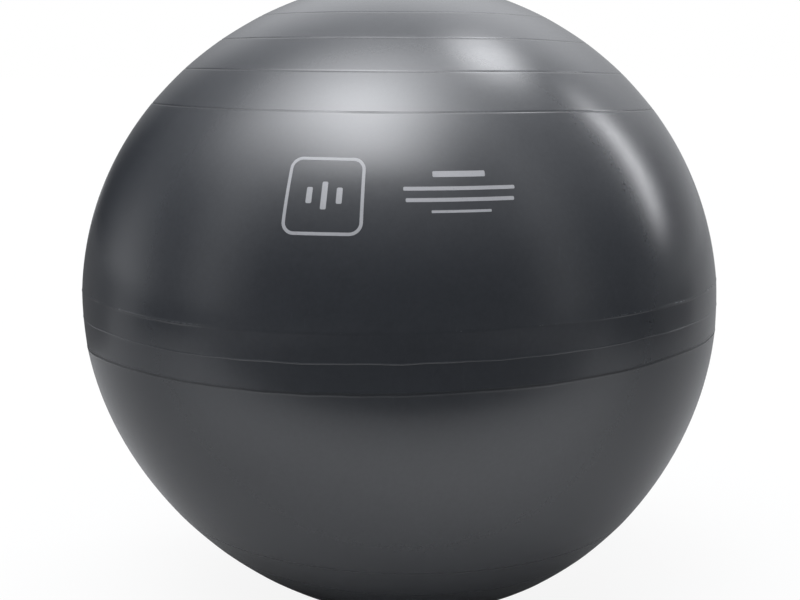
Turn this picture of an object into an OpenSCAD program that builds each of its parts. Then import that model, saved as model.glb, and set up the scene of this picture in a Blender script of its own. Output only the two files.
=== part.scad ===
// Large inflated exercise ball: one moulded skin with grip rings, a welded-in
// valve seat and a push-in plug.
// Millimetres, +Z up along the axis of the rings. The origin is the centre of
// the small flat on which the ball rests, and the valve is at the top.

/* [Ball] */
// Inflated diameter across the middle
ball_d = 650; // [450:1:850]
// Thickness of the skin
wall = 0.9; // [0.6:0.1:2]
// Radius of the flat that the ball's own weight makes where it rests
contact_r = 36; // [20:1:60]

/* [Grip rings] */
// Number of rings round each end
ring_count = 6; // [0:1:6]
// Latitude of the first ring, in degrees from the middle
ring_first = 38.5; // [30:0.5:45]
// Step from one ring to the next, in degrees
ring_step = 8.25; // [5:0.25:8.5]
// Width of a ring's groove at the surface
ring_w = 2.2; // [1.2:0.1:4]
// Depth of a ring's groove
ring_depth = 0.45; // [0.1:0.05:0.5]

/* [Middle band] */
// Half height of the band that strengthens the middle, in degrees
band_half = 4.4; // [2:0.1:10]
// Width of the fine raised line along each edge of the band
band_line_w = 2.4; // [1.2:0.1:3]
// Height of the fine raised line along each edge of the band
band_line_h = 0.2; // [0.1:0.05:0.4]
// Width of the bead where the two halves of the mould meet
bead_w = 1.2; // [0.8:0.1:3]
// Height of the bead where the two halves of the mould meet
bead_h = 0.4; // [0.1:0.05:0.5]

/* [Valve seat] */
// Radius of the seat's collar, which fills the hole in the skin
collar_r = 13; // [12:0.5:18]
// Height of the collar above the skin
collar_h = 0.8; // [0.2:0.1:2]
// Radius of the flange that is welded under the skin
flange_r = 23; // [20:0.5:30]
// Thickness of the flange
flange_t = 1.6; // [1:0.1:3]
// Outer radius of the neck that reaches into the ball
neck_r = 7.5; // [6.5:0.1:9]
// Length of the neck below the collar's top
neck_l = 24; // [22:0.5:32]
// Radius of the bore that grips the plug
bore_r = 4.25; // [4:0.05:5]

/* [Valve plug] */
// Radius of the plug's head
head_r = 9.6; // [8.5:0.1:10]
// Thickness of the head at its rim
head_t = 1.8; // [1.2:0.1:2]
// Rise of the head's domed top
head_dome = 0.7; // [0.3:0.1:1.2]
// Length of the stem under the head
stem_l = 17; // [15:0.5:18]
// Radius of the stem between its ribs
stem_r = 3.3; // [2.6:0.1:3.6]
// Number of sealing ribs
rib_count = 3; // [1:1:3]
// Height of one sealing rib
rib_h = 1.8; // [1:0.1:2.2]
// Gap all round between a rib and the bore
rib_gap = 0.05; // [0.02:0.01:0.1]

/* [Hidden] */
R = ball_d / 2;
// Height of the ball's centre over the floor
centre_z = sqrt(R * R - contact_r * contact_r);
// Top of the skin, where the valve is
top_z = centre_z + R;
collar_top = top_z + collar_h;
// Room for the plug's head, down from the collar's top
recess_r = head_r + 0.3;
recess_h = head_t + 0.1;
// The head rests this far above the recess's floor
head_gap = 0.05;
head_z = collar_top - recess_h + head_gap;
// Rings stay clear of the flat below and of the seat above
keep_clear = max(contact_r, flange_r) + 8;
skin_rgb = [0.21, 0.215, 0.23];
seat_rgb = [0.16, 0.165, 0.175];
plug_rgb = [0.70, 0.71, 0.72];
FINE = 288;

// Radius of the circle that cuts a groove w wide and d deep
function cut_r(w, d) = (w * w / 4 + d * d) / (2 * d);

// One ring of round section, centred this far from the ball's centre
module ring_section(lat, dist, r) {
    rotate(lat) translate([dist, 0]) circle(r = r, $fn = 48);
}

module groove_section(lat, w, d) {
    ring_section(lat, R + cut_r(w, d) - d, cut_r(w, d));
}

module bead_section(lat, w, h) {
    ring_section(lat, R - cut_r(w, h) + h, cut_r(w, h));
}

// Half of the ball's section, with a flat foot
module round_section(r, foot) {
    intersection() {
        circle(r = r, $fn = FINE);
        translate([0, -foot]) square([2 * r, foot + 2 * r]);
    }
}

module skin_section() {
    difference() {
        union() {
            round_section(R, centre_z);
            bead_section(0, bead_w, bead_h);
            for (side = [-1, 1])
                bead_section(side * band_half, band_line_w, band_line_h);
        }
        round_section(R - wall, centre_z - wall);
        for (side = [-1, 1])
            for (i = [0 : 1 : ring_count - 1]) {
                lat = ring_first + i * ring_step;
                if (R * cos(lat) > keep_clear)
                    groove_section(side * lat, ring_w, ring_depth);
            }
    }
}

// The inflated PVC skin, with the hole for the valve seat
module ball_shell() {
    color(skin_rgb)
    difference() {
        translate([0, 0, centre_z]) rotate_extrude($fn = FINE) skin_section();
        translate([0, 0, top_z - 10]) cylinder(r = collar_r, h = 20, $fn = 96);
    }
}

// The thicker insert that is welded into the skin and grips the plug
module valve_seat() {
    color(seat_rgb)
    difference() {
        union() {
            // flange, against the inside of the skin
            intersection() {
                translate([0, 0, centre_z]) difference() {
                    sphere(r = R - wall, $fn = FINE);
                    sphere(r = R - wall - flange_t, $fn = FINE);
                }
                translate([0, 0, top_z - 20]) cylinder(r = flange_r, h = 30, $fn = 96);
            }
            // collar, in the hole
            translate([0, 0, top_z - wall - flange_t - 1.5])
                cylinder(r = collar_r, h = wall + flange_t + 1.5 + collar_h, $fn = 96);
            // neck, into the ball
            translate([0, 0, collar_top - neck_l])
                cylinder(r = neck_r, h = neck_l - 1, $fn = 96);
        }
        // recess for the head
        translate([0, 0, collar_top - recess_h])
            cylinder(r = recess_r, h = recess_h + 1, $fn = 96);
        // bore for the stem
        translate([0, 0, collar_top - neck_l - 1])
            cylinder(r = bore_r, h = neck_l + 2, $fn = 96);
        // two slots for the tool that lifts the head
        for (a = [0, 180]) rotate(a)
            translate([recess_r - 1, -2.5, collar_top - recess_h])
                cube([collar_r - recess_r + 2, 5, recess_h + 1]);
    }
}

// The push-in plug: domed head, stem with sealing ribs, blunt tip
module valve_plug() {
    tip_l = 2.4;
    rib_first = 2.2;
    rib_step = (stem_l - tip_l - rib_first - rib_h) / max(1, rib_count - 1);
    dome_r = (head_r * head_r + head_dome * head_dome) / (2 * head_dome);
    color(plug_rgb)
    translate([0, 0, head_z])
    difference() {
        union() {
            // head
            cylinder(r = head_r, h = head_t, $fn = 96);
            intersection() {
                translate([0, 0, head_t + head_dome - dome_r]) sphere(r = dome_r, $fn = FINE);
                translate([0, 0, head_t / 2]) cylinder(r = head_r, h = head_t + head_dome, $fn = 96);
            }
            // stem
            translate([0, 0, tip_l - stem_l]) cylinder(r = stem_r, h = stem_l - tip_l + 0.5, $fn = 64);
            translate([0, 0, -stem_l]) cylinder(r1 = stem_r - 1, r2 = stem_r, h = tip_l, $fn = 64);
            // sealing ribs
            for (i = [0 : 1 : rib_count - 1])
                translate([0, 0, -rib_first - rib_h - i * rib_step])
                    cylinder(r = bore_r - rib_gap, h = rib_h, $fn = 64);
        }
        // the stem is hollow from its tip
        translate([0, 0, -stem_l - 1]) cylinder(r = 1.3, h = stem_l - 1, $fn = 48);
    }
}

ball_shell();
valve_seat();
valve_plug();
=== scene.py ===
import math
import bpy
import numpy as np
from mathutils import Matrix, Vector


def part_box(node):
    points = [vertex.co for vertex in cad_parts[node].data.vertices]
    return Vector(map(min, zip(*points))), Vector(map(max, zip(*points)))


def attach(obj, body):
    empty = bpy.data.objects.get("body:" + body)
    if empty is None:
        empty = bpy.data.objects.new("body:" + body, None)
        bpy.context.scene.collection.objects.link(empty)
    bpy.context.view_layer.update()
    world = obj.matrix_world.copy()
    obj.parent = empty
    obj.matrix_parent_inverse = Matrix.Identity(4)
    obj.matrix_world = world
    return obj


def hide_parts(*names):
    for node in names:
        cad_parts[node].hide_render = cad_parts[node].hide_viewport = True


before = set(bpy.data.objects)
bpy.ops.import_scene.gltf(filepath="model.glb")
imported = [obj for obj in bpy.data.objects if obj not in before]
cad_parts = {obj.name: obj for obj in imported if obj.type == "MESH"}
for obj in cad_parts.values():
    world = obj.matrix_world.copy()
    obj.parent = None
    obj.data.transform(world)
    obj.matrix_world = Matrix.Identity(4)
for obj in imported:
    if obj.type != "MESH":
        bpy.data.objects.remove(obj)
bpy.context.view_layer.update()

rad, deg = math.radians, math.degrees
scene = bpy.context.scene

# ---------------------------------------------------------------- sizes, metres
R = 0.325                                   # the ball's radius
FOOT_R = 0.036                              # the flat it rests on
ZC = math.sqrt(R * R - FOOT_R * FOOT_R)     # height of its centre
TOP = ZC + R                                # top of the skin, at the valve
WALL = 0.0009
COLLAR_R = 0.013
assert abs(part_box("valve_seat")[1][2] - (TOP + 0.0008)) < 2e-4

# ---------------------------------------------------------------- camera
PITCH, FOCAL_PX, DIST = rad(9.84), 1353.9, 4.41 * R
fw = np.array([0, math.cos(PITCH), -math.sin(PITCH)])
up = np.array([0, math.sin(PITCH), math.cos(PITCH)])
rt = np.array([1.0, 0, 0])
aim = np.array([1.2 / FOCAL_PX, 2.8 / FOCAL_PX, 1.0])
aim /= np.linalg.norm(aim)
eye = np.array([0, 0, ZC]) - DIST * (rt * aim[0] + up * aim[1] + fw * aim[2])
cam = bpy.data.objects.new("camera", bpy.data.cameras.new("camera"))
scene.collection.objects.link(cam)
cam.data.sensor_width = 36.0
cam.data.lens = FOCAL_PX / 800.0 * 36.0
cam.location = Vector(eye)
cam.rotation_euler = (math.pi / 2 - PITCH, 0, 0)
cam.data.clip_end = 200
scene.camera = cam
scene.view_settings.view_transform = "Standard"

# ---------------------------------------------------------------- node helpers


class Ex:
    """A number in a node tree: a socket or a constant, with the usual arithmetic."""

    def __init__(self, nt, v):
        self.nt, self.v = nt, v

    def _op(self, op, *others, clamp=False):
        n = self.nt.nodes.new("ShaderNodeMath")
        n.operation, n.use_clamp = op, clamp
        for i, o in enumerate((self,) + others):
            o = o.v if isinstance(o, Ex) else o
            if isinstance(o, (int, float)):
                n.inputs[i].default_value = float(o)
            else:
                self.nt.links.new(o, n.inputs[i])
        return Ex(self.nt, n.outputs[0])

    def __add__(self, o): return self._op("ADD", o)
    def __radd__(self, o): return self._op("ADD", o)
    def __sub__(self, o): return self._op("SUBTRACT", o)
    def __rsub__(self, o): return (self * -1.0) + o
    def __mul__(self, o): return self._op("MULTIPLY", o)
    def __rmul__(self, o): return self._op("MULTIPLY", o)
    def __truediv__(self, o): return self._op("DIVIDE", o)
    def __neg__(self): return self * -1.0
    def abs(self): return self._op("ABSOLUTE")
    def pow(self, k): return self._op("POWER", k)
    def exp(self): return self._op("EXPONENT")
    def max(self, o): return self._op("MAXIMUM", o)
    def min(self, o): return self._op("MINIMUM", o)

    def step(self, a, b, lo=0.0, hi=1.0):
        """Smooth step from lo at a to hi at b."""
        n = self.nt.nodes.new("ShaderNodeMapRange")
        n.interpolation_type = "SMOOTHSTEP"
        for i, x in enumerate((a, b, lo, hi)):
            n.inputs[i + 1].default_value = x
        self.nt.links.new(self.v, n.inputs[0])
        return Ex(self.nt, n.outputs[0])


def direction(az, el):
    """Azimuth 0 is towards the camera (-Y) and +90 is +X."""
    a, e = rad(az), rad(el)
    return np.array([math.cos(e) * math.sin(a), -math.cos(e) * math.cos(a), math.sin(e)])


# ---------------------------------------------------------------- studio: world light
world = bpy.data.worlds.new("studio")
scene.world = world
world.use_nodes = True
wt = world.node_tree
wt.nodes.clear()
tc = wt.nodes.new("ShaderNodeTexCoord")
sep = wt.nodes.new("ShaderNodeSeparateXYZ")
wt.links.new(tc.outputs["Generated"], sep.inputs[0])
dx, dy, dz = (Ex(wt, sep.outputs[i]) for i in range(3))


def dot(v):
    return dx * float(v[0]) + dy * float(v[1]) + dz * float(v[2])


def lamp(az, el, roll, half_u, half_w, strength, pu=2.0, pw=2.0, bend=0.0):
    """A soft panel in the sky: half_u and half_w are its half sizes in degrees, along and across, and pu and pw say how box-like it is."""
    c = direction(az, el)
    side = np.cross(c, [0, 0, 1.0]); side /= np.linalg.norm(side)
    top = np.cross(side, c)
    r = rad(roll)
    u = top * math.cos(r) + side * math.sin(r)
    w = -top * math.sin(r) + side * math.cos(r)
    facing = dot(c).max(1e-3)
    pu_, pw_ = dot(u) / facing, dot(w) / facing
    if bend:
        pw_ = pw_ - pu_ * pu_ * bend
    eu = (pu_ / math.tan(rad(half_u))).abs().pow(pu)
    ew = (pw_ / math.tan(rad(half_w))).abs().pow(pw)
    return (-((eu + ew).min(60.0)) * 0.693).exp() * dot(c).step(0.0, 0.1) * strength


# Ceiling and the bright side of the room, then the wide white screen behind the ball.
light = dx.step(0.40, 0.80, 0.0, 0.07) + dz.step(0.25, 0.95, 0.0, 1) + 0
screen = dot(direction(169, 19)).step(math.cos(rad(49.0)), math.cos(rad(19.0)))
light = light + screen * dz.step(-0.1, 0.8, 0.07, 1.56)
for panel in (
    # azimuth, elevation, roll, half sizes, strength
    dict(az=-25.5, el=68, roll=13, half_u=14.5, half_w=16.5, strength=10.8, pu=4.0),            # softbox overhead, in front
    dict(az=-89.5, el=77, roll=0, half_u=25, half_w=13.5, strength=6.8),                # its spill to the left
    dict(az=130, el=63, roll=-9, half_u=7.1, half_w=8.7, strength=10.3, pu=3.0, pw=3.0),    # small lamp high behind, right
    dict(az=114.5, el=27, roll=-18, half_u=14.7, half_w=2.1, strength=16.0, pu=4.0, bend=0.1),  # tall strip light, right
    dict(az=-108.5, el=-18.5, roll=0, half_u=29.5, half_w=14, strength=1.33),                 # dim fills round the room
    dict(az=-68.5, el=23, roll=0, half_u=55, half_w=10.5, strength=0.84),
    dict(az=59, el=20.5, roll=0, half_u=74.5, half_w=8.5, strength=0.54),
    dict(az=149.5, el=-12.5, roll=0, half_u=17, half_w=45, strength=0.83),
):
    light = light + lamp(**panel)
tint = wt.nodes.new("ShaderNodeMix")
tint.data_type, tint.blend_type = "RGBA", "MULTIPLY"
tint.inputs["Factor"].default_value = 1.0
tint.inputs["A"].default_value = (0.985, 0.998, 1.03, 1)
wt.links.new(light.v, tint.inputs["B"])
bg = wt.nodes.new("ShaderNodeBackground")
wt.links.new(tint.outputs["Result"], bg.inputs["Color"])
white = wt.nodes.new("ShaderNodeBackground")
white.inputs["Color"].default_value = (1, 1, 1, 1)
lp = wt.nodes.new("ShaderNodeLightPath")
mix = wt.nodes.new("ShaderNodeMixShader")
wt.links.new(lp.outputs["Is Camera Ray"], mix.inputs[0])
wt.links.new(bg.outputs[0], mix.inputs[1])
wt.links.new(white.outputs[0], mix.inputs[2])
wout = wt.nodes.new("ShaderNodeOutputWorld")
wt.links.new(mix.outputs[0], wout.inputs["Surface"])


# ---------------------------------------------------------------- studio: floor
def card(name, corners, z):
    m = bpy.data.meshes.new(name)
    m.from_pydata([(x, y, z) for x, y in corners], [], [(0, 1, 2, 3)])
    o = bpy.data.objects.new(name, m)
    scene.collection.objects.link(o)
    return o


def stage_mat(name):
    m = bpy.data.materials.new(name)
    m.use_nodes = True
    m.node_tree.nodes.clear()
    out = m.node_tree.nodes.new("ShaderNodeOutputMaterial")
    return m, m.node_tree, out


# Pale paper. As the ball's reflections and bounced light see it, a pool of light in front of the ball and a faint
# brightening round it are painted into its colour. The camera sees it nearly white, with a light contact shadow.
floor = card("floor", [(-60, -60), (60, -60), (60, 60), (-60, 60)], 0.0)
m, nt, out = stage_mat("floor_paper")
pos = nt.nodes.new("ShaderNodeNewGeometry")
xyz = nt.nodes.new("ShaderNodeSeparateXYZ")
nt.links.new(pos.outputs["Position"], xyz.inputs[0])
fx, fy = Ex(nt, xyz.outputs[0]), Ex(nt, xyz.outputs[1])
# painted light: the paper's colour is brightened in a pool in front of the ball and faintly round it
painted_light_pool = (-(((fx - 0.06) / 1.29).abs().pow(2.0) + ((fy + 0.51) / 0.26).abs().pow(2.0)).min(60.0)).exp()
near = (-((fx / 1.3).abs().pow(2.0) + ((fy - 0.1) / 0.9).abs().pow(2.0)).min(60.0)).exp()
paper = nt.nodes.new("ShaderNodeBsdfDiffuse")
nt.links.new((painted_light_pool * 0.365 + near * 0.045 + 0.165).v, paper.inputs["Color"])
pale = nt.nodes.new("ShaderNodeBsdfDiffuse")
pale.inputs["Color"].default_value = (0.36, 0.36, 0.36, 1)
glow = nt.nodes.new("ShaderNodeEmission")
glow.inputs["Color"].default_value = (1, 1, 1, 1)
seen = nt.nodes.new("ShaderNodeMixShader")
seen.inputs[0].default_value = 0.10
nt.links.new(glow.outputs[0], seen.inputs[1])
nt.links.new(pale.outputs[0], seen.inputs[2])
path = nt.nodes.new("ShaderNodeLightPath")
pick = nt.nodes.new("ShaderNodeMixShader")
nt.links.new(path.outputs["Is Camera Ray"], pick.inputs[0])
nt.links.new(paper.outputs[0], pick.inputs[1])
nt.links.new(seen.outputs[0], pick.inputs[2])
nt.links.new(pick.outputs[0], out.inputs["Surface"])
floor.data.materials.append(m)
# Black flags: only the ball's reflections see them, so the room past the paper looks dark in the skin.
for name, grey, corners in (
    ("flag_front", 0.008, [(-1.5, -60), (1.5, -60), (1.5, -0.80), (-1.5, -0.80)]),
    ("flag_front_right", 0.008, [(3.5, -60), (60, -60), (60, -0.80), (3.5, -0.80)]),
    ("flag_front_left", 0.008, [(-60, -60), (-3.5, -60), (-3.5, -0.80), (-60, -0.80)]),
    ("flag_right", 0.008, [(1.75, -0.80), (60, -0.80), (60, 0.25), (1.75, 0.25)]),
    ("flag_right_rear", 0.07, [(1.75, 0.25), (60, 0.25), (60, 38), (1.75, 0.78)]),
    ("flag_left", 0.008, [(-60, -0.80), (-1.9, -0.80), (-1.9, 0.20), (-60, 7)]),
    ("flag_rear", 0.05, [(-1.24, 0.53), (-55, 23), (-25, 54), (-0.57, 1.22)]),
):
    flag = card(name, corners, 0.0015)
    m, nt, out = stage_mat(name + "_cloth")
    cloth = nt.nodes.new("ShaderNodeBsdfDiffuse")
    cloth.inputs["Color"].default_value = (grey, grey, grey, 1)
    nt.links.new(cloth.outputs[0], out.inputs["Surface"])
    flag.data.materials.append(m)
    flag.visible_camera = flag.visible_diffuse = flag.visible_shadow = False
    flag.visible_transmission = flag.visible_volume_scatter = False

# ---------------------------------------------------------------- the skin's shape
RINGS = [38.5 + 8.25 * i for i in range(6)]
BAND = 4.4
LINES = sorted([-a for a in RINGS] + [-BAND, 0.0, BAND] + RINGS)


def smooth(x, a, b):
    t = np.clip((x - a) / (b - a), 0, 1)
    return t * t * (3 - 2 * t)


# slope breaks at the lines: latitude, break on the side below, break on the side above (degrees)
BREAKS = [(-90.0, 0, 0)] + [(-a, 0.8, 0.8) for a in reversed(RINGS)] + [(-BAND, 0, 2.2), (BAND, 0.6, 0.8)] \
    + [(a, b, c) for a, b, c in zip(RINGS, (0, 0.5, 0.7, 0.6, 0.6, 0.6), (1.5, 0, 0.7, 0.6, 0.6, 0.6))] + [(90.0, 0, 0)]


def profile(lat):
    """Share by which the skin is flatter than a true sphere between its lines, so that it bends a little more at each line."""
    out = np.zeros_like(lat)
    for (a, _, ka), (b, kb, _) in zip(BREAKS[:-1], BREAKS[1:]):
        m = (lat >= a) & (lat <= b)
        L = rad(b - a)
        s = (lat[m] - a) / (b - a)
        out[m] = L * (-rad(ka) * s * (1 - s) ** 2 - rad(kb) * s * s * (1 - s))
    return out


def wobble(n):
    """The soft ball isn't a perfect sphere: slow swellings and dents, fading out at the foot and at the valve."""
    u = n @ rt
    w = n @ up
    z = u + 1j * w
    d = 0.64 * (z ** 2).real - 1.74 * (z ** 2).imag - 1.9 * (z ** 3).real + 1.05 * (z ** 3).imag \
        + 1.5 * (z ** 4).real + 0.2 * (z ** 4).imag
    lat = np.degrees(np.arcsin(np.clip(n[..., 2], -1, 1)))
    d = d * (1 - smooth(np.abs(lat), 58, 80))
    return d / 315.0


def waves(x, seed, terms, lo, hi):
    """A smooth random function of longitude, from -1 to 1, the same on every run."""
    r = np.random.default_rng(seed)
    out = np.zeros_like(x)
    for k in r.integers(lo, hi, terms):
        out += r.normal() * np.cos(k * x + r.uniform(0, 6.283))
    return out / max(1e-9, np.abs(out).max())


def lat_shift(lat, lon):
    """The rings aren't quite parallel: each lies a little tilted, and the lower ones sit lower. The fine lines also waver."""
    top = smooth(lat, 10, 36) * (1 - smooth(lat, 66, 82))
    mid = np.exp(-(lat / 22.0) ** 2)
    low = smooth(-lat, 15, 36) * (1 - smooth(-lat, 60, 84))
    out = (-0.61 * top + 1.08 * mid) * np.sin(lon) - 2.1 * low
    at = lambda where, width: np.exp(-(((lon - rad(where) + math.pi) % (2 * math.pi) - math.pi) / rad(width)) ** 2)
    out += 0.5 * mid * (at(-61, 16) - 1.1 * at(-91, 12)) + 0.3 * top * at(32, 22)
    out -= (0.14 + 0.30 * at(-20, 30) + 1.05 * at(-72, 18) - 0.42 * at(52, 16)) * np.exp(-((lat + BAND) / 3.0) ** 2)
    out += 0.22 * at(44, 16) * np.exp(-(lat / 2.0) ** 2)
    out += 0.11 * waves(lon, 5, 12, 4, 70) * np.exp(-(lat / 0.9) ** 2)
    for line in (-BAND, BAND):
        out += 0.07 * waves(lon, 6 if line > 0 else 7, 12, 4, 60) * np.exp(-((lat - line) / 0.9) ** 2)
    return out


def lo_near(lon):
    """Longitude from -pi to pi."""
    return (lon + math.pi) % (2 * math.pi) - math.pi


def relief(lat, lon):
    """Height of the grooves and the parting bead in metres, and how much the skin is darkened by painted shade and made
    duller there (0 to 1), by the skin's own latitude in degrees.
    """
    out, painted_shade_and_dullness = np.zeros_like(lat), np.zeros_like(lat)
    for i, a in enumerate(LINES):
        near = np.abs(lat - a) < 1.6
        if not near.any():
            continue
        s = (lat[near] - a) * rad(1) * R * 1000          # mm along the skin, upwards
        lo = lon[near]
        bell = lambda at, w: np.exp(-((s - at) / w) ** 2)
        if a == 0.0:                                     # bead where the mould's halves meet
            h = 0.12 + 0.16 * np.exp(-((lo_near(lo) + 0.15) / 0.42) ** 2) + 0.07 * waves(lo, 11, 14, 3, 90) \
                + 0.11 * smooth(np.abs(lo_near(lo)), 0.62, 0.95)
            g, c = h * bell(0, 0.40), 0 * s
        elif a == -BAND:                                 # lower edge of the band: a fine raised weld, soft on top
            d = 1 + 0.30 * waves(lo, 20, 14, 2, 80)
            h = 0.10 + 0.09 * smooth(np.abs(lo_near(lo)), 0.3, 1.2)
            g = h * d * np.exp(-(np.where(s > -0.2, (s + 0.2) / 1.6, (s + 0.2) / 1.1)) ** 2)
            c = np.clip(0.6 * d * bell(0.9, 1.0), 0, 1)
        elif a == BAND:                                  # upper edge: the same, but faint
            d = np.clip(0.6 + 0.4 * waves(lo, 21, 14, 2, 40), 0.3, 1.2)
            g = (0.12 + 0.26 * smooth(np.abs(lo_near(lo)), 0.35, 0.85)) * d * np.exp(-(np.where(s > 0, s / 1.2, s / 0.8)) ** 2)
            c = 0.2 * d * bell(0.8, 0.8)
        else:                                            # ring
            d = 1 + 0.40 * waves(lo, 20 + i, 9, 2, 40)
            g = -0.17 * d * np.exp(-(np.abs(s) / 0.90) ** 2.2)
            c = 0.50 * d * bell(0, 0.75)
        out[near] += g * 0.001
        # c is painted shade in the skin's colour, in the middle of each groove and just above each edge of the band,
        # and it makes the skin duller there too
        painted_shade_and_dullness[near] = np.maximum(painted_shade_and_dullness[near], c)
    # the welded valve seat shows through the skin as a slightly raised disc
    arc = (90 - lat) * rad(1) * R
    out += 0.00022 * (1 - smooth(arc, 0.0222, 0.0246))
    return out, painted_shade_and_dullness


def skin_point(lat, lon, lift=0.0, plain_skin=False):
    """Points of the outer skin. lat and lon in degrees and radians, by the skin's own lines; lon 0 faces -Y and grows towards +X."""
    lat = np.asarray(lat, float); lon = np.asarray(lon, float)
    true_lat = lat + lat_shift(lat, lon)
    t = np.radians(true_lat)
    n = np.stack([np.cos(t) * np.sin(lon), -np.cos(t) * np.cos(lon), np.sin(t)], -1)
    r = R * (1 + profile(lat) + wobble(n)) + lift
    if not plain_skin:
        r = r + relief(lat, lon)[0]
    p = n * r[..., None]
    p[..., 2] += ZC
    # the flat foot, with a soft turn into the wall
    z, k = p[..., 2], 0.001
    p[..., 2] = np.where(z > k, z, np.where(z < -k, 0.0, (z + k) ** 2 / (4 * k)))
    return p


def rows():
    off = [-3.2, -2.5, -2.0, -1.6, -1.25, -0.95, -0.65, -0.33, 0, 0.33, 0.65, 0.95, 1.25, 1.6, 2.0, 2.5, 3.2]
    fine = [-2.4, -1.7, -1.2, -0.85, -0.6, -0.4, -0.2, 0, 0.2, 0.4, 0.6, 0.85, 1.2, 1.7, 2.4]
    coarse = [-2.6, -1.7, -1.1, -0.6, 0, 0.6, 1.1, 1.7, 2.6]
    got = []
    for a in LINES:
        for o in (fine if abs(a) <= BAND else off if a > 0 else coarse):
            got.append(a + deg(o / 1000 / R))
    for o in (-1.6, -1.1, -0.7, -0.35, 0, 0.35, 0.7, 1.1, 1.6):
        got.append(90 - deg((0.0234 + o / 1000) / R))
    ends = [-90.0] + LINES + [deg(math.acos(COLLAR_R / R))]
    for a, b in zip(ends[:-1], ends[1:]):
        gap = 1.35 if a > -30 else 1.8
        n = max(1, int((b - a - 1.0) / gap))
        got += list(np.linspace(a + (0.56 if a > -90 else 0), b - 0.5, n + 1))
    got = np.array(sorted(g for g in got if -89.9 < g < ends[-1] - 0.05) + [ends[-1]])
    keep = [got[0]]
    for g in got[1:]:
        if g - keep[-1] > 0.02:
            keep.append(g)
    return np.array(keep)


def add_object(name, verts, faces, mat, body, smooth_angle=None):
    m = bpy.data.meshes.new(name)
    m.from_pydata([tuple(v) for v in verts], [], faces)
    m.validate()
    m.update()
    m.polygons.foreach_set("use_smooth", [True] * len(m.polygons))
    o = bpy.data.objects.new(name, m)
    scene.collection.objects.link(o)
    m.materials.append(mat)
    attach(o, body)
    return o


def lathe(rows_xyz, close_first=None, close_last=None):
    """Faces round rows of points: rows_xyz is (rows, columns, 3). The optional closing points make fans."""
    nr, nc = rows_xyz.shape[:2]
    verts = list(rows_xyz.reshape(-1, 3))
    faces = []
    for i in range(nr - 1):
        for j in range(nc):
            k = (j + 1) % nc
            faces.append((i * nc + j, i * nc + k, (i + 1) * nc + k, (i + 1) * nc + j))
    if close_first is not None:
        verts.append(close_first)
        c = len(verts) - 1
        faces += [(c, (j + 1) % nc, j) for j in range(nc)]
    if close_last is not None:
        verts.append(close_last)
        c = len(verts) - 1
        b = (nr - 1) * nc
        faces += [(c, b + j, b + (j + 1) % nc) for j in range(nc)]
    return verts, faces


# ---------------------------------------------------------------- materials
class Mat:
    """A Principled material under construction, in object coordinates."""

    def __init__(self, name):
        self.m = bpy.data.materials.new(name)
        self.m.use_nodes = True
        self.nt = self.m.node_tree
        self.b = self.nt.nodes["Principled BSDF"]
        self.tc = self.nt.nodes.new("ShaderNodeTexCoord")
        self.height = None

    def noise(self, scale, detail=3, rough=0.55, stretch=None, seed=0.0):
        n = self.nt.nodes.new("ShaderNodeTexNoise")
        n.inputs["Scale"].default_value = scale
        n.inputs["Detail"].default_value = detail
        n.inputs["Roughness"].default_value = rough
        src = self.tc.outputs["Object"]
        mp = self.nt.nodes.new("ShaderNodeMapping")
        mp.inputs["Location"].default_value = (seed, seed * 0.7, seed * 1.3)
        if stretch:
            mp.inputs["Scale"].default_value = stretch
        self.nt.links.new(src, mp.inputs["Vector"])
        self.nt.links.new(mp.outputs[0], n.inputs["Vector"])
        return Ex(self.nt, n.outputs["Fac"])

    def attribute(self, name):
        n = self.nt.nodes.new("ShaderNodeAttribute")
        n.attribute_name = name
        return Ex(self.nt, n.outputs["Fac"])

    def color(self, base, factor):
        """The base colour times a varying factor."""
        mul = self.nt.nodes.new("ShaderNodeMix")
        mul.data_type, mul.blend_type = "RGBA", "MULTIPLY"
        mul.inputs["Factor"].default_value = 1.0
        mul.inputs["A"].default_value = (*base, 1)
        self.nt.links.new(factor.v, mul.inputs["B"])
        self.nt.links.new(mul.outputs["Result"], self.b.inputs["Base Color"])

    def rough(self, value):
        self.nt.links.new(value.v, self.b.inputs["Roughness"])

    def bump(self, *layers):
        """Bump layers, each a height from 0 to 1 and its depth in metres."""
        last = None
        for h, depth in layers:
            n = self.nt.nodes.new("ShaderNodeBump")
            n.inputs["Strength"].default_value = 1.0
            n.inputs["Distance"].default_value = depth
            self.nt.links.new(h.v, n.inputs["Height"])
            if last is not None:
                self.nt.links.new(last.outputs[0], n.inputs["Normal"])
            last = n
        self.nt.links.new(last.outputs[0], self.b.inputs["Normal"])


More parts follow.
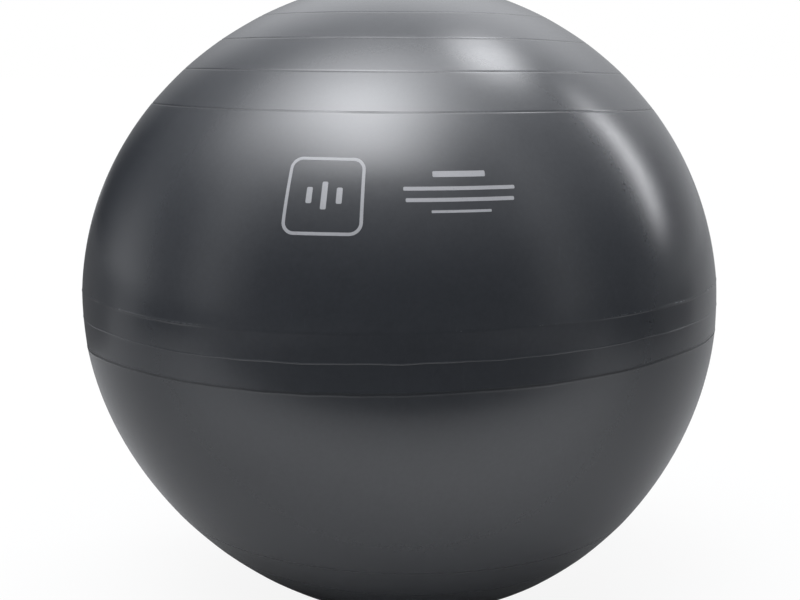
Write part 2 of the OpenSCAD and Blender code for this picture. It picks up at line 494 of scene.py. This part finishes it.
def soft_pvc(name, base, rough, with_painted_shade_and_dullness=True):
    """Satin PVC: cloudy colour, a fine pebbled grain, faint upright scuffs from packing, and dust specks. With
    with_painted_shade_and_dullness, painted shade darkens the colour along the skin's grooves and band edges, which are
    also made duller.
    """
    k = Mat(name)
    cloud = k.noise(6.0, 3, seed=3)
    mid = k.noise(70.0, 4, seed=9)
    fine = k.noise(250.0, 4, 0.62, seed=1)
    scuff = k.noise(1.0, 3, 0.6, stretch=(380, 380, 30), seed=5).step(0.58, 0.80)
    patchy = k.noise(11.0, 2, seed=14).step(0.40, 0.64)
    speck = k.noise(420.0, 1, 0.5, seed=21).step(0.76, 0.84)
    scuff = scuff * patchy
    tone = (cloud - 0.5) * 0.28 + (mid - 0.5) * 0.14 + (fine - 0.5) * 0.32 + 1.0 + scuff * 0.25 + speck * 0.10
    r = (cloud - 0.5) * 0.04 + (mid - 0.5) * 0.03 + (fine - 0.5) * 0.07 + rough + scuff * 0.008
    # painted shade: the colour is darkened along the grooves and the band's edges, where the skin is also made rougher
    if with_painted_shade_and_dullness:
        painted_shade_and_dullness = k.attribute("painted_shade_and_dullness")
        tone = tone * (1.0 - painted_shade_and_dullness * 0.72)
        r = r + painted_shade_and_dullness * 0.22
    k.color(base, tone)
    k.rough(r)
    k.b.inputs["IOR"].default_value = 1.5
    k.bump((k.noise(16.0, 2, seed=30), 0.00008), (mid, 0.000022), (fine, 0.000028))
    return k.m


skin_mat = soft_pvc("skin_pvc", (0.0210, 0.0230, 0.0265), 0.238)
seat_mat = soft_pvc("seat_pvc", (0.019, 0.0205, 0.024), 0.30, with_painted_shade_and_dullness=False)

ink = Mat("print_ink")
tone = (ink.noise(40.0, 3, seed=2) - 0.5) * 0.14 + (ink.noise(650.0, 2, seed=4) - 0.5) * 0.20 + 1.0
tone = tone * (1.0 - ink.noise(900.0, 1, seed=8).step(0.70, 0.76) * 0.35)      # pinholes of a screen print
ink.color((0.205, 0.208, 0.218), tone)
ink.rough((ink.noise(300.0, 2, seed=6) - 0.5) * 0.12 + 0.42)
ink.bump((ink.noise(250.0, 4, 0.62, seed=1), 0.00003))

plastic = Mat("plug_plastic")
tone = (plastic.noise(90.0, 3, seed=2) - 0.5) * 0.08 + (plastic.noise(1400.0, 2, seed=5) - 0.5) * 0.06 + 1.0
plastic.color((0.165, 0.168, 0.172), tone)
plastic.rough((plastic.noise(500.0, 3, seed=6) - 0.5) * 0.12 + 0.40)
plastic.bump((plastic.noise(1600.0, 2, seed=1), 0.00002), (plastic.noise(160.0, 2, seed=7), 0.00003))

# ---------------------------------------------------------------- the skin
NCOL = 240
lons = np.linspace(0, 2 * math.pi, NCOL, endpoint=False)
lat_rows = rows()
LAT, LON = np.meshgrid(lat_rows, lons, indexing="ij")
outer = skin_point(LAT, LON)
# the wall of the hole at the valve, then the inner surface down to the foot
inner_lats = np.concatenate([[lat_rows[-1]], np.linspace(lat_rows[-1] - 1.0, -84.0, 22)])
LAT2, LON2 = np.meshgrid(inner_lats, lons, indexing="ij")
inner = skin_point(LAT2, LON2, lift=-WALL - 0.0002, plain_skin=True)
inner[0] = outer[-1] - np.array([0, 0, WALL])
low = inner[..., 2] < 0.004
inner[..., 2] = np.where(low, np.maximum(inner[..., 2], WALL), inner[..., 2])
all_rows = np.concatenate([outer, inner])
v, f = lathe(all_rows, close_first=(0, 0, 0), close_last=(0, 0, WALL))
skin = add_object("ball_skin", v, f, skin_mat, "ball")
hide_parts("ball_shell")
# the mask of painted shade and dullness along the lines, read by the skin's material
painted_shade_and_dullness = skin.data.attributes.new("painted_shade_and_dullness", "FLOAT", "POINT")
values = np.zeros(len(skin.data.vertices), dtype=np.float32)
values[:LAT.size] = relief(LAT, LON)[1].ravel()
painted_shade_and_dullness.data.foreach_set("value", values)

# ---------------------------------------------------------------- the print: plain generic shapes
def hard_edges(o, angle=38):
    """Smooth shading that keeps the true corners."""
    m = o.data
    import bmesh
    bm = bmesh.new()
    bm.from_mesh(m)
    for e in bm.edges:
        e.smooth = len(e.link_faces) == 2 and e.calc_face_angle(0) < rad(angle)
    bm.to_mesh(m)
    bm.free()


def decal(name, strips, lat0, lon0):
    """Thin ink on the skin. Each strip is (one edge, other edge, closed), with the edges as lists of (u, v) in mm round the print's centre."""
    verts, faces = [], []
    cos0 = math.cos(rad(lat0))
    for one, two, closed in strips:
        one, two = np.array(one, float), np.array(two, float)
        across = np.linspace(0, 1, 4)
        grid = one[:, None] * (1 - across)[None, :, None] + two[:, None] * across[None, :, None]
        lat = lat0 + np.degrees(grid[..., 1] / 1000 / R)
        lon = rad(lon0) + grid[..., 0] / 1000 / (R * cos0)
        top = skin_point(lat, lon, lift=0.00010)
        bot = skin_point(lat, lon, lift=-0.00012)
        n, m = grid.shape[:2]
        base = len(verts)
        verts += list(top.reshape(-1, 3)) + list(bot.reshape(-1, 3))
        T = lambda i, j: base + (i % n) * m + j
        B = lambda i, j: base + n * m + (i % n) * m + j
        for i in range(n if closed else n - 1):
            for j in range(m - 1):
                faces.append((T(i, j), T(i + 1, j), T(i + 1, j + 1), T(i, j + 1)))
                faces.append((B(i, j), B(i, j + 1), B(i + 1, j + 1), B(i + 1, j)))
            faces.append((T(i, 0), B(i, 0), B(i + 1, 0), T(i + 1, 0)))
            faces.append((T(i, m - 1), T(i + 1, m - 1), B(i + 1, m - 1), B(i, m - 1)))
        if not closed:
            for i in (0, n - 1):
                for j in range(m - 1):
                    q = (T(i, j), T(i, j + 1), B(i, j + 1), B(i, j))
                    faces.append(q if i == 0 else q[::-1])
    o = add_object(name, verts, faces, ink.m, "ball")
    hard_edges(o)
    return o


def rounded_loop(half, corner, n=10, step=2.0):
    """A square with rounded corners, as points about step mm apart."""
    pts = []
    for cx, cy, a0 in ((1, 1, 0), (-1, 1, 90), (-1, -1, 180), (1, -1, 270)):
        for a in np.linspace(a0, a0 + 90, n):
            pts.append(((half - corner) * cx + corner * math.cos(rad(a)), (half - corner) * cy + corner * math.sin(rad(a))))
    out = []
    for p, q in zip(pts, pts[1:] + pts[:1]):
        k = max(1, int(math.hypot(q[0] - p[0], q[1] - p[1]) / step))
        out += [(p[0] + (q[0] - p[0]) * i / k, p[1] + (q[1] - p[1]) * i / k) for i in range(k)]
    return out


def bar(u0, u1, v, height, upright=False):
    """A plain bar with softly rounded corners."""
    h, c = height / 2, min(height * 0.28, 1.2)
    us = sorted(set([u0 + c * (1 - math.cos(a)) for a in np.linspace(0, math.pi / 2, 5)]
                    + [u1 - c * (1 - math.cos(a)) for a in np.linspace(0, math.pi / 2, 5)]
                    + list(np.linspace(u0 + c, u1 - c, max(2, int((u1 - u0) / 2.0)))))) 
    def half(u):
        d = min(u - u0, u1 - u)
        return h if d >= c else h - c + math.sqrt(max(0, c * c - (c - d) ** 2))
    one = [(u, v - half(u)) for u in us]
    two = [(u, v + half(u)) for u in us]
    if upright:
        one, two = [(b_, a_) for a_, b_ in two], [(b_, a_) for a_, b_ in one]
    return one, two, False


outer_loop = rounded_loop(34.0, 11.0)
edge = []
for i, p in enumerate(outer_loop):
    q0, q1 = outer_loop[i - 1], outer_loop[(i + 1) % len(outer_loop)]
    t = np.array(q1) - np.array(q0)
    t /= np.linalg.norm(t)
    edge.append((p[0] - t[1] * 2.8, p[1] + t[0] * 2.8))
mark = [(outer_loop, edge, True)]
mark += [bar(-h, h, x, 5.0, upright=True) for x, h in ((-13.0, 7.0), (0.0, 12.0), (13.0, 7.0))]
decal("print_mark", mark, 24.6, -12.6)
lines = [bar(-w / 2, w / 2, v, h) for w, v, h in ((46, 18.3, 5.4), (96, 5.4, 3.4), (92, -4.6, 3.4), (50, -14.8, 2.3))]
decal("print_lines", lines, 24.8, 9.6)


# ---------------------------------------------------------------- the valve
def rounded(points, seg=5):
    """A closed outline (r, z, fillet) in mm with its corners rounded."""
    out = []
    n = len(points)
    for i, (x, y, f) in enumerate(points):
        p = np.array([x, y], float)
        a = np.array(points[i - 1][:2], float) - p
        c = np.array(points[(i + 1) % n][:2], float) - p
        la, lc = np.linalg.norm(a), np.linalg.norm(c)
        a, c = a / la, c / lc
        half = math.acos(max(-1, min(1, float(a @ c)))) / 2
        if f <= 0 or half > math.pi / 2 - 0.02:
            out.append(tuple(p))
            continue
        d = min(f / math.tan(half), 0.48 * la, 0.48 * lc)
        f = d * math.tan(half)
        mid = (a + c) / np.linalg.norm(a + c)
        centre = p + mid * f / math.sin(half)
        s0, s1 = p + a * d - centre, p + c * d - centre
        a0, a1 = math.atan2(s0[1], s0[0]), math.atan2(s1[1], s1[0])
        turn = (a1 - a0 + math.pi) % (2 * math.pi) - math.pi
        for k in range(seg + 1):
            t = a0 + turn * k / seg
            out.append((centre[0] + f * math.cos(t), centre[1] + f * math.sin(t)))
    return out


def spun(name, outline, z0, mat, body, columns=128, axis=False):
    """Spins an outline in mm about Z. With axis it starts and ends on the axis, and otherwise it is a closed loop."""
    pts = outline[1:-1] if axis else outline
    a = np.linspace(0, 2 * math.pi, columns, endpoint=False)
    grid = np.array([[(r * math.cos(t) / 1000, r * math.sin(t) / 1000, z0 + z / 1000) for t in a] for r, z in pts])
    if axis:
        v, f = lathe(grid, (0, 0, z0 + outline[0][1] / 1000), (0, 0, z0 + outline[-1][1] / 1000))
    else:
        v, f = lathe(np.concatenate([grid, grid[:1]]))
        k = len(grid) * columns
        v = v[:k]
        f = [tuple(i if i < k else i - k for i in q) for q in f]
    o = add_object(name, v, f, mat, body)
    import bmesh
    bm = bmesh.new()
    bm.from_mesh(o.data)
    bmesh.ops.recalc_face_normals(bm, faces=bm.faces)
    bm.to_mesh(o.data)
    bm.free()
    return o


drop = lambda r: r * r / 2 / 325.0                 # how far the skin has dropped at r mm from the axis
seat_outline = rounded([
    (4.25, -23.2, 0.5), (4.25, -1.1, 0.45), (9.9, -1.1, 0.25), (9.9, 0.8, 0.35), (11.2, 0.8, 0), (11.45, 0.62, 0.2), (11.7, 0.8, 0), (13.02, 0.8, 0.5),
    (13.02, -0.9 - drop(13), 0.0), (23, -0.9 - drop(23), 0.3), (23, -2.5 - drop(23), 0.6), (13.0, -2.5 - drop(13), 0.3),
    (13.0, -4.0, 0.5), (7.5, -4.0, 0.8), (7.5, -23.2, 0.6)])
seat = spun("seat_body", seat_outline, TOP, seat_mat, "ball", columns=160)
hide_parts("valve_seat")
# the two slots for the tool that lifts the plug
cutter_mesh = bpy.data.meshes.new("slots")
cv, cf = [], []
for side in (-1, 1):
    n = 12
    ring = []
    for cx, cy, a0 in ((1, 1, 0), (-1, 1, 90), (-1, -1, 180), (1, -1, 270)):
        for t in np.linspace(a0, a0 + 90, n // 3):
            ring.append(((11.5 + (3.0 - 0.6) * cx * 1.0 + 0.6 * math.cos(rad(t))) * side if False else side * 11.6 + (2.9 - 0.6) * cx + 0.6 * math.cos(rad(t)),
                         (2.5 - 0.6) * cy + 0.6 * math.sin(rad(t))))
    base, m = len(cv), len(ring)
    cv += [(x / 1000, y / 1000, TOP - 0.0011) for x, y in ring] + [(x / 1000, y / 1000, TOP + 0.003) for x, y in ring]
    cf.append(tuple(range(base + m - 1, base - 1, -1)))
    cf.append(tuple(range(base + m, base + 2 * m)))
    cf += [(base + i, base + (i + 1) % m, base + m + (i + 1) % m, base + m + i) for i in range(m)]
cutter_mesh.from_pydata(cv, [], cf)
cutter = bpy.data.objects.new("slots", cutter_mesh)
scene.collection.objects.link(cutter)
mod = seat.modifiers.new("slots", "BOOLEAN")
mod.operation, mod.solver, mod.object = "DIFFERENCE", "EXACT", cutter
bpy.context.view_layer.update()
cut = bpy.data.meshes.new_from_object(seat.evaluated_get(bpy.context.evaluated_depsgraph_get()))
seat.modifiers.clear()
seat.data = cut
bpy.data.objects.remove(cutter)
cut.polygons.foreach_set("use_smooth", [True] * len(cut.polygons))
hard_edges(seat)

HEAD = TOP + (0.8 - 1.9 + 0.05) / 1000             # underside of the plug's head
plug = [(0, -2.0), (1.15, -2.0), (1.3, -2.15), (1.3, -16.7), (1.45, -17.0), (2.15, -17.0), (2.5, -16.7), (3.2, -14.9)]
for top_of_rib in (-12.8, -7.5, -2.2):             # barbed sealing ribs, blunt upwards and tapered towards the tip
    plug += [(3.3, top_of_rib - 1.8), (3.75, top_of_rib - 1.45), (4.05, top_of_rib - 1.0), (4.18, top_of_rib - 0.6),
             (4.2, top_of_rib - 0.35), (4.12, top_of_rib - 0.1), (3.95, top_of_rib), (3.45, top_of_rib), (3.3, top_of_rib + 0.15)]
plug += [(3.3, -0.45), (3.42, -0.15), (3.75, 0.0), (9.2, 0.0), (9.45, 0.08), (9.57, 0.25), (9.6, 0.5), (9.6, 1.3), (9.53, 1.62), (9.32, 1.82), (9.0, 1.90)]
dome = (9.6 ** 2 + 0.7 ** 2) / 1.4
at = lambda r: 2.5 - dome + math.sqrt(dome * dome - r * r)
for r in (8.5, 8.0, 7.6):
    plug.append((r, at(r)))
plug += [(7.35, at(7.35)), (7.2, at(7.2) - 0.06), (7.1, at(7.1) - 0.2), (6.95, at(6.95) - 0.26), (6.75, at(6.75) - 0.26), (6.6, at(6.6) - 0.2), (6.5, at(6.5) - 0.06), (6.35, at(6.35))]
for r in (5.6, 4.6, 3.6, 2.6, 1.9):
    plug.append((r, at(r)))
plug += [(1.55, at(1.55) - 0.02), (1.3, at(1.3) - 0.12), (1.05, at(1.05) - 0.28), (0.6, at(0.6) - 0.36), (0, at(0) - 0.38)]
plug_obj = spun("plug_body", plug, HEAD, plastic.m, "plug", columns=128, axis=True)
hard_edges(plug_obj, 50)
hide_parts("valve_plug")

# ---------------------------------------------------------------- finish
print("skin rows", len(lat_rows), "faces", len(f))
